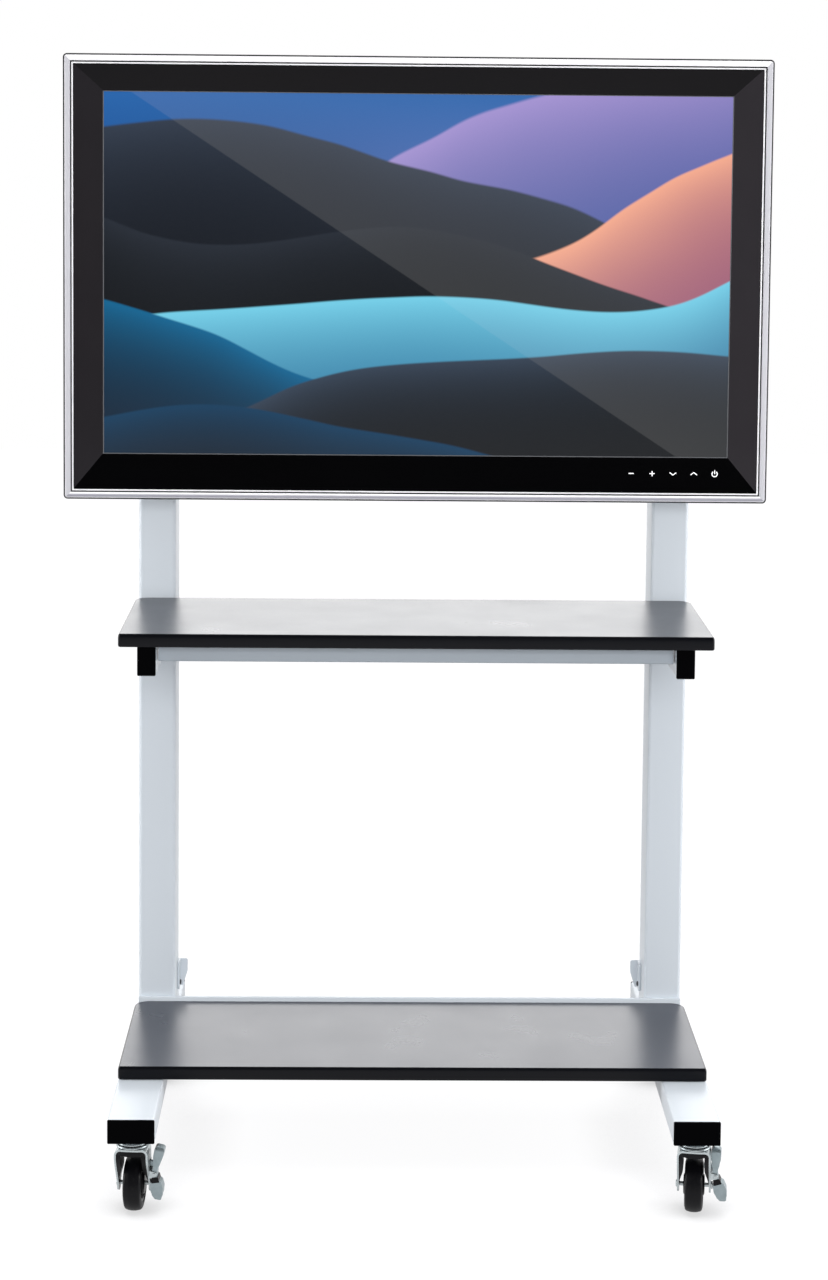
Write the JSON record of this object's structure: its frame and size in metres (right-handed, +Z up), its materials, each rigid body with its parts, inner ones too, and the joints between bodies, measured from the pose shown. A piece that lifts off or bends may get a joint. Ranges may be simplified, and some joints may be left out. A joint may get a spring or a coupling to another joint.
{
  "type": "tv cart",
  "caption": "Rolling floor stand on swivel casters with two shelves between twin posts and a lift-off flat display.",
  "frame": {"origin": "on the floor, under the middle of the stand's bounding box", "axes": "+Z up, the display and shelves face -Y, +X to the viewer's right"},
  "size_m": [1.028, 0.64, 1.587],
  "materials": {
    "silver_paint": "satin silver-grey powder coat",
    "rail_steel": "satin black powder coat",
    "grey_paint": "satin mid-grey powder coat",
    "gloss_black": "gloss black moulded",
    "laminate": "graphite laminate with a fine grain, semi-gloss",
    "edging": "black edging, satin",
    "zinc": "bright zinc plating",
    "core_plastic": "black moulded core",
    "tread": "black rubber tread",
    "trim_silver": "silver painted frame",
    "screen": "glossy display panel showing a picture",
    "back_plastic": "fine textured black moulding",
    "backlight": "panel and backlight module",
    "circuit_board": "green circuit board",
    "grey_plastic": "grey moulding"
  },
  "bodies": {
    "frame": {"left_foot": "silver_paint", "right_foot": "silver_paint", "left_front_foot_cap": "gloss_black", "left_rear_foot_cap": "gloss_black", "right_front_foot_cap": "gloss_black", "right_rear_foot_cap": "gloss_black", "left_post": "silver_paint", "right_post": "silver_paint", "left_post_cap": "gloss_black", "right_post_cap": "gloss_black", "base_crossbar": "silver_paint", "left_post_bracket": "silver_paint", "right_post_bracket": "silver_paint", "lower_shelf_board": "laminate", "lower_shelf_edge_band": "edging", "upper_shelf_board": "laminate", "upper_shelf_edge_band": "edging", "left_shelf_arm": "silver_paint", "right_shelf_arm": "silver_paint", "left_arm_cap": "gloss_black", "right_arm_cap": "gloss_black", "shelf_apron": "grey_paint", "mount_upper_rail": "rail_steel", "mount_lower_rail": "rail_steel", "front_left_caster_stem": "zinc", "front_right_caster_stem": "zinc", "rear_left_caster_stem": "zinc", "rear_right_caster_stem": "zinc"},
    "display": {"left_hook_arm": "rail_steel", "right_hook_arm": "rail_steel", "display_trim": "trim_silver", "display_bezel": "gloss_black", "display_screen": "screen", "display_chassis": "backlight", "display_back_cover": "back_plastic", "main_board": "circuit_board", "power_board": "circuit_board", "left_speaker": "grey_plastic", "right_speaker": "grey_plastic", "key_board": "circuit_board"},
    "front_left_swivel": {"front_left_fork": "zinc", "front_left_axle": "zinc", "front_left_brake_pin": "zinc"},
    "front_left_wheel": {"front_left_hub": "core_plastic", "front_left_tyre": "tread"},
    "front_left_brake": {"front_left_brake_pedal": "zinc"},
    "front_right_swivel": {"front_right_fork": "zinc", "front_right_axle": "zinc", "front_right_brake_pin": "zinc"},
    "front_right_wheel": {"front_right_hub": "core_plastic", "front_right_tyre": "tread"},
    "front_right_brake": {"front_right_brake_pedal": "zinc"},
    "rear_left_swivel": {"rear_left_fork": "zinc", "rear_left_axle": "zinc"},
    "rear_left_wheel": {"rear_left_hub": "core_plastic", "rear_left_tyre": "tread"},
    "rear_right_swivel": {"rear_right_fork": "zinc", "rear_right_axle": "zinc"},
    "rear_right_wheel": {"rear_right_hub": "core_plastic", "rear_right_tyre": "tread"}
  },
  "joints": [
    {"name": "front_left_swivel", "type": "hinge", "parent": "frame", "child": "front_left_swivel", "pos_m": [-0.384, -0.288, 0.05], "axis": [0, 0, 1], "continuous": true},
    {"name": "front_left_wheel_spin", "type": "hinge", "parent": "front_left_swivel", "child": "front_left_wheel", "pos_m": [-0.3826, -0.26805, 0.0375], "axis": [0.9976, -0.0698, 0], "continuous": true},
    {"name": "front_left_brake_rock", "type": "hinge", "parent": "front_left_swivel", "child": "front_left_brake", "pos_m": [-0.35423, -0.27805, 0.056], "axis": [0.0698, 0.9976, 0], "range_deg": [-10, 0]},
    {"name": "front_right_swivel", "type": "hinge", "parent": "frame", "child": "front_right_swivel", "pos_m": [0.384, -0.288, 0.05], "axis": [0, 0, 1], "continuous": true},
    {"name": "front_right_wheel_spin", "type": "hinge", "parent": "front_right_swivel", "child": "front_right_wheel", "pos_m": [0.38696, -0.26822, 0.0375], "axis": [0.989, -0.1478, 0], "continuous": true},
    {"name": "front_right_brake_rock", "type": "hinge", "parent": "front_right_swivel", "child": "front_right_brake", "pos_m": [0.41446, -0.28042, 0.056], "axis": [0.1478, 0.989, 0], "range_deg": [0, 10]},
    {"name": "rear_left_swivel", "type": "hinge", "parent": "frame", "child": "rear_left_swivel", "pos_m": [-0.384, 0.288, 0.05], "axis": [0, 0, 1], "continuous": true},
    {"name": "rear_left_wheel_spin", "type": "hinge", "parent": "rear_left_swivel", "child": "rear_left_wheel", "pos_m": [-0.38678, 0.2682, 0.0375], "axis": [-0.9903, 0.1392, 0], "continuous": true},
    {"name": "rear_right_swivel", "type": "hinge", "parent": "frame", "child": "rear_right_swivel", "pos_m": [0.384, 0.288, 0.05], "axis": [0, 0, 1], "continuous": true},
    {"name": "rear_right_wheel_spin", "type": "hinge", "parent": "rear_right_swivel", "child": "rear_right_wheel", "pos_m": [0.38884, 0.26859, 0.0375], "axis": [-0.9703, -0.2419, 0], "continuous": true},
    {"name": "display_lift_off", "type": "slide", "parent": "frame", "child": "display", "axis": [0, 0, 1], "range_m": [0, 0.06]}
  ]
}
